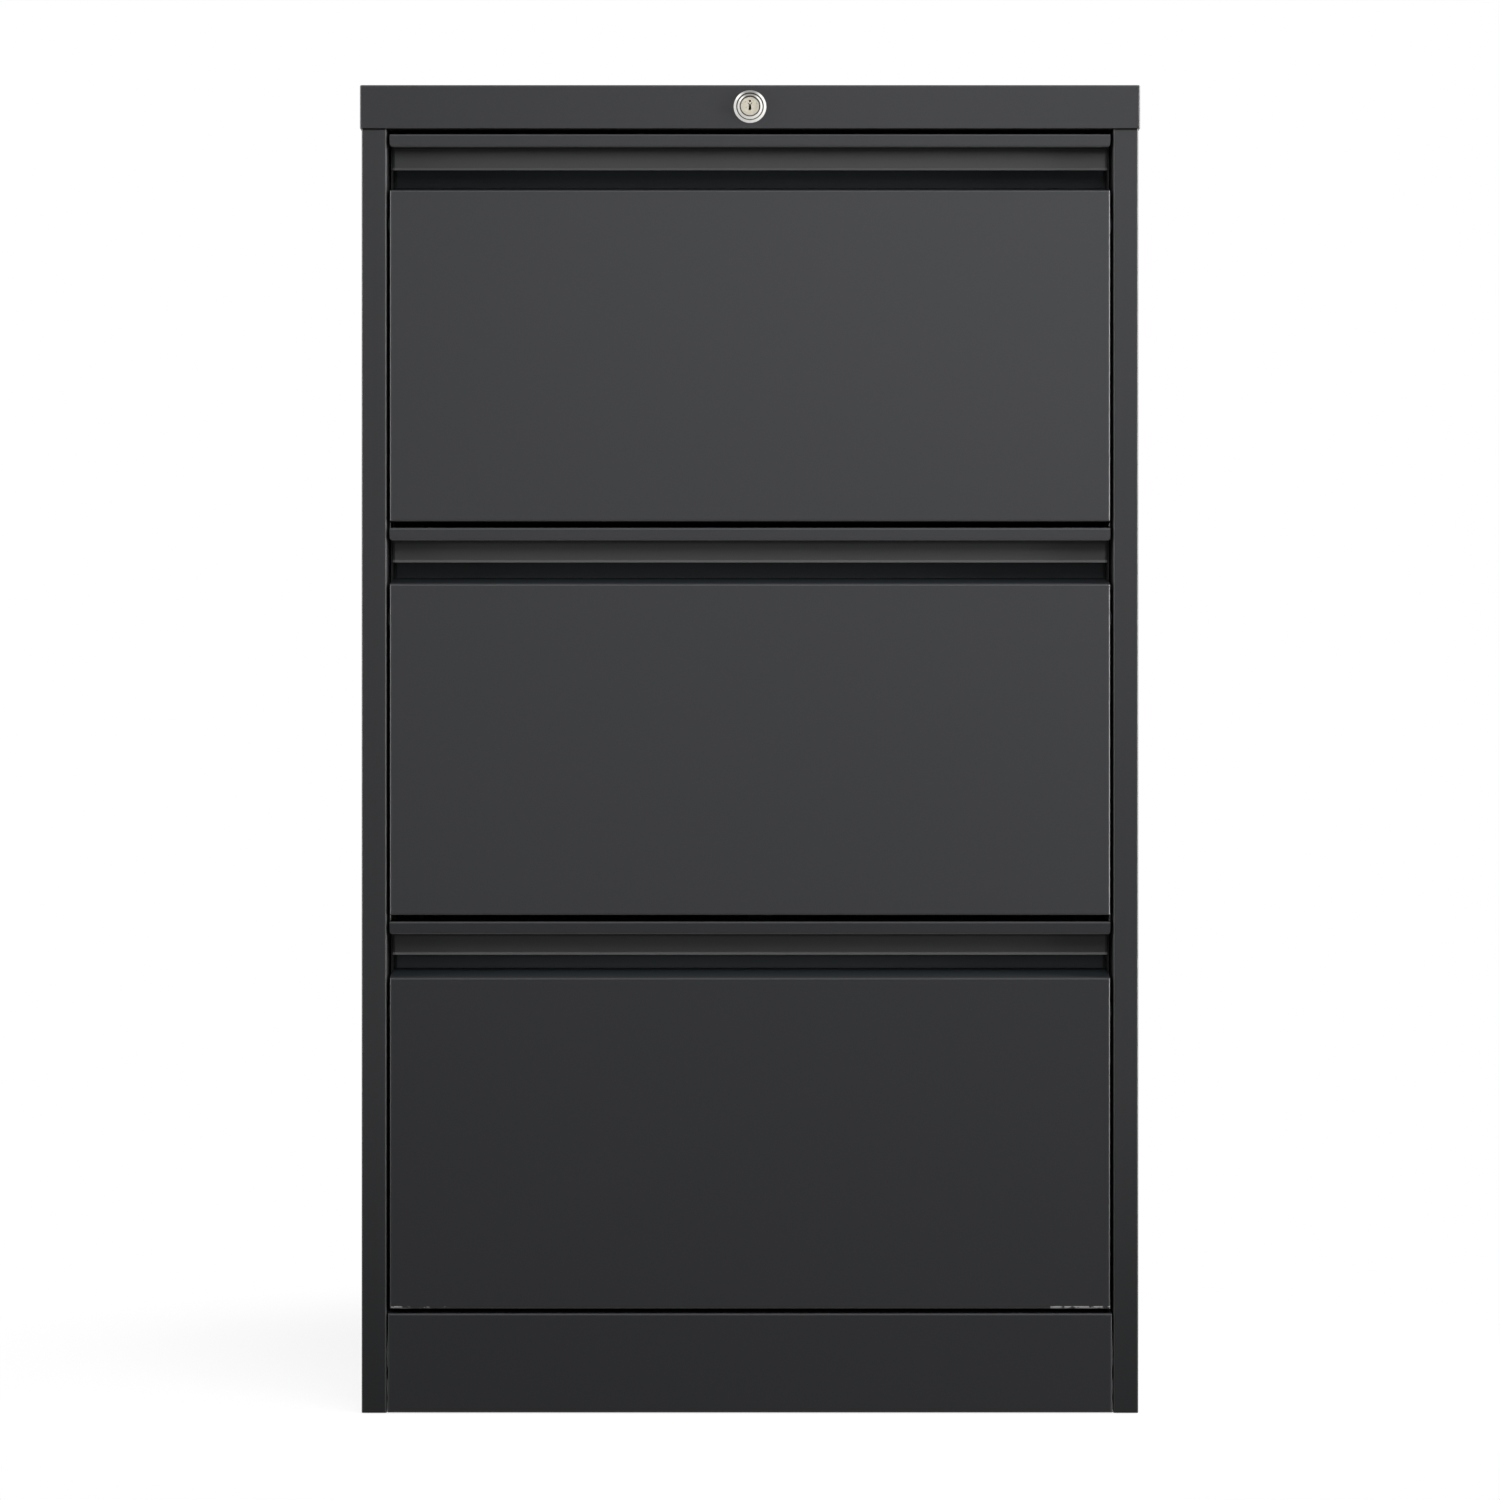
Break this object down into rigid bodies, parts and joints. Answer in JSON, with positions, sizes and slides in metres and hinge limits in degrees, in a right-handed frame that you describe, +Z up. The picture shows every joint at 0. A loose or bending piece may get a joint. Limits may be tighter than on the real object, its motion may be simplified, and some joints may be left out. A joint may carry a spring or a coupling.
{
  "type": "lateral filing cabinet",
  "caption": "Upright steel filing cabinet with stacked full-width drawers on ball-bearing runners, recessed finger pulls and one lock that holds every drawer.",
  "frame": {"origin": "on the floor under the middle of the cabinet", "axes": "+X to the right when facing the drawers, +Y from the drawers to the back, +Z up"},
  "size_m": [0.6, 0.4044, 1.022],
  "materials": {
    "charcoal_paint": "fine satin powder coat",
    "drawer_inside": "satin powder coat",
    "zinc_plate": "zinc-plated steel",
    "lock_nickel": "polished nickel",
    "foot_black": "matt black"
  },
  "bodies": {
    "cabinet": {"left_side_panel": "charcoal_paint", "right_side_panel": "charcoal_paint", "back_panel": "charcoal_paint", "top_cap": "charcoal_paint", "bottom_pan": "charcoal_paint", "base_plinth": "charcoal_paint", "top_rail": "charcoal_paint", "left_uprights": "zinc_plate", "right_uprights": "zinc_plate", "foot_brackets": "zinc_plate", "carcass_screws": "zinc_plate", "lock_housing": "lock_nickel", "lock_bezel": "lock_nickel", "lock_nut": "zinc_plate", "rod_bearing": "zinc_plate", "lock_bar_guides": "zinc_plate", "top_drawer_cabinet_rails": "zinc_plate", "middle_drawer_cabinet_rails": "zinc_plate", "bottom_drawer_cabinet_rails": "zinc_plate"},
    "lock_cylinder": {"lock_plug": "lock_nickel", "lock_rod": "zinc_plate", "lock_crank": "zinc_plate"},
    "locking_bar": {"lock_bar": "zinc_plate"},
    "top_drawer": {"top_drawer_front": "charcoal_paint", "top_drawer_pull": "charcoal_paint", "top_drawer_inner_front": "drawer_inside", "top_drawer_tray": "drawer_inside", "top_drawer_back": "drawer_inside", "top_drawer_hang_bars": "zinc_plate", "top_drawer_lock_catch": "zinc_plate", "top_drawer_drawer_rails": "zinc_plate"},
    "top_drawer_middle_stage": {"top_drawer_middle_rails": "zinc_plate"},
    "top_drawer_outer_cages": {"top_drawer_outer_ball_cages": "zinc_plate"},
    "top_drawer_inner_cages": {"top_drawer_inner_ball_cages": "zinc_plate"},
    "middle_drawer": {"middle_drawer_front": "charcoal_paint", "middle_drawer_pull": "charcoal_paint", "middle_drawer_inner_front": "drawer_inside", "middle_drawer_tray": "drawer_inside", "middle_drawer_back": "drawer_inside", "middle_drawer_hang_bars": "zinc_plate", "middle_drawer_lock_catch": "zinc_plate", "middle_drawer_drawer_rails": "zinc_plate"},
    "middle_drawer_middle_stage": {"middle_drawer_middle_rails": "zinc_plate"},
    "middle_drawer_outer_cages": {"middle_drawer_outer_ball_cages": "zinc_plate"},
    "middle_drawer_inner_cages": {"middle_drawer_inner_ball_cages": "zinc_plate"},
    "bottom_drawer": {"bottom_drawer_front": "charcoal_paint", "bottom_drawer_pull": "charcoal_paint", "bottom_drawer_inner_front": "drawer_inside", "bottom_drawer_tray": "drawer_inside", "bottom_drawer_back": "drawer_inside", "bottom_drawer_hang_bars": "zinc_plate", "bottom_drawer_lock_catch": "zinc_plate", "bottom_drawer_drawer_rails": "zinc_plate"},
    "bottom_drawer_middle_stage": {"bottom_drawer_middle_rails": "zinc_plate"},
    "bottom_drawer_outer_cages": {"bottom_drawer_outer_ball_cages": "zinc_plate"},
    "bottom_drawer_inner_cages": {"bottom_drawer_inner_ball_cages": "zinc_plate"},
    "front_left_leveller": {"front_left_foot": "foot_black"},
    "front_right_leveller": {"front_right_foot": "foot_black"},
    "rear_left_leveller": {"rear_left_foot": "foot_black"},
    "rear_right_leveller": {"rear_right_foot": "foot_black"}
  },
  "joints": [
    {"name": "lock_turn", "type": "hinge", "parent": "cabinet", "child": "lock_cylinder", "pos_m": [0, 0, 1.0051], "axis": [0, -1, 0], "range_deg": [0, 90]},
    {"name": "lock_bar_lift", "type": "slide", "parent": "cabinet", "child": "locking_bar", "axis": [0, 0, 1], "range_m": [0, 0.01414]},
    {"name": "top_drawer_slide", "type": "slide", "parent": "cabinet", "child": "top_drawer", "axis": [0, -1, 0], "range_m": [0, 0.338]},
    {"name": "top_drawer_middle_stage_slide", "type": "slide", "parent": "cabinet", "child": "top_drawer_middle_stage", "axis": [0, -1, 0], "range_m": [0, 0.169]},
    {"name": "top_drawer_outer_cages_slide", "type": "slide", "parent": "cabinet", "child": "top_drawer_outer_cages", "axis": [0, -1, 0], "range_m": [0, 0.0845]},
    {"name": "top_drawer_inner_cages_slide", "type": "slide", "parent": "cabinet", "child": "top_drawer_inner_cages", "axis": [0, -1, 0], "range_m": [0, 0.2535]},
    {"name": "middle_drawer_slide", "type": "slide", "parent": "cabinet", "child": "middle_drawer", "axis": [0, -1, 0], "range_m": [0, 0.338]},
    {"name": "middle_drawer_middle_stage_slide", "type": "slide", "parent": "cabinet", "child": "middle_drawer_middle_stage", "axis": [0, -1, 0], "range_m": [0, 0.169]},
    {"name": "middle_drawer_outer_cages_slide", "type": "slide", "parent": "cabinet", "child": "middle_drawer_outer_cages", "axis": [0, -1, 0], "range_m": [0, 0.0845]},
    {"name": "middle_drawer_inner_cages_slide", "type": "slide", "parent": "cabinet", "child": "middle_drawer_inner_cages", "axis": [0, -1, 0], "range_m": [0, 0.2535]},
    {"name": "bottom_drawer_slide", "type": "slide", "parent": "cabinet", "child": "bottom_drawer", "axis": [0, -1, 0], "range_m": [0, 0.338]},
    {"name": "bottom_drawer_middle_stage_slide", "type": "slide", "parent": "cabinet", "child": "bottom_drawer_middle_stage", "axis": [0, -1, 0], "range_m": [0, 0.169]},
    {"name": "bottom_drawer_outer_cages_slide", "type": "slide", "parent": "cabinet", "child": "bottom_drawer_outer_cages", "axis": [0, -1, 0], "range_m": [0, 0.0845]},
    {"name": "bottom_drawer_inner_cages_slide", "type": "slide", "parent": "cabinet", "child": "bottom_drawer_inner_cages", "axis": [0, -1, 0], "range_m": [0, 0.2535]},
    {"name": "front_left_levelling", "type": "slide", "parent": "cabinet", "child": "front_left_leveller", "axis": [0, 0, -1], "range_m": [0, 0.012]},
    {"name": "front_right_levelling", "type": "slide", "parent": "cabinet", "child": "front_right_leveller", "axis": [0, 0, -1], "range_m": [0, 0.012]},
    {"name": "rear_left_levelling", "type": "slide", "parent": "cabinet", "child": "rear_left_leveller", "axis": [0, 0, -1], "range_m": [0, 0.012]},
    {"name": "rear_right_levelling", "type": "slide", "parent": "cabinet", "child": "rear_right_leveller", "axis": [0, 0, -1], "range_m": [0, 0.012]}
  ],
  "couplings": [
    {"joint": "lock_turn", "follows": "lock_bar_lift", "rad_per_m": 111.07},
    {"joint": "top_drawer_middle_stage_slide", "follows": "top_drawer_slide", "ratio": 0.5},
    {"joint": "top_drawer_outer_cages_slide", "follows": "top_drawer_slide", "ratio": 0.25},
    {"joint": "top_drawer_inner_cages_slide", "follows": "top_drawer_slide", "ratio": 0.75},
    {"joint": "middle_drawer_middle_stage_slide", "follows": "middle_drawer_slide", "ratio": 0.5},
    {"joint": "middle_drawer_outer_cages_slide", "follows": "middle_drawer_slide", "ratio": 0.25},
    {"joint": "middle_drawer_inner_cages_slide", "follows": "middle_drawer_slide", "ratio": 0.75},
    {"joint": "bottom_drawer_middle_stage_slide", "follows": "bottom_drawer_slide", "ratio": 0.5},
    {"joint": "bottom_drawer_outer_cages_slide", "follows": "bottom_drawer_slide", "ratio": 0.25},
    {"joint": "bottom_drawer_inner_cages_slide", "follows": "bottom_drawer_slide", "ratio": 0.75}
  ]
}
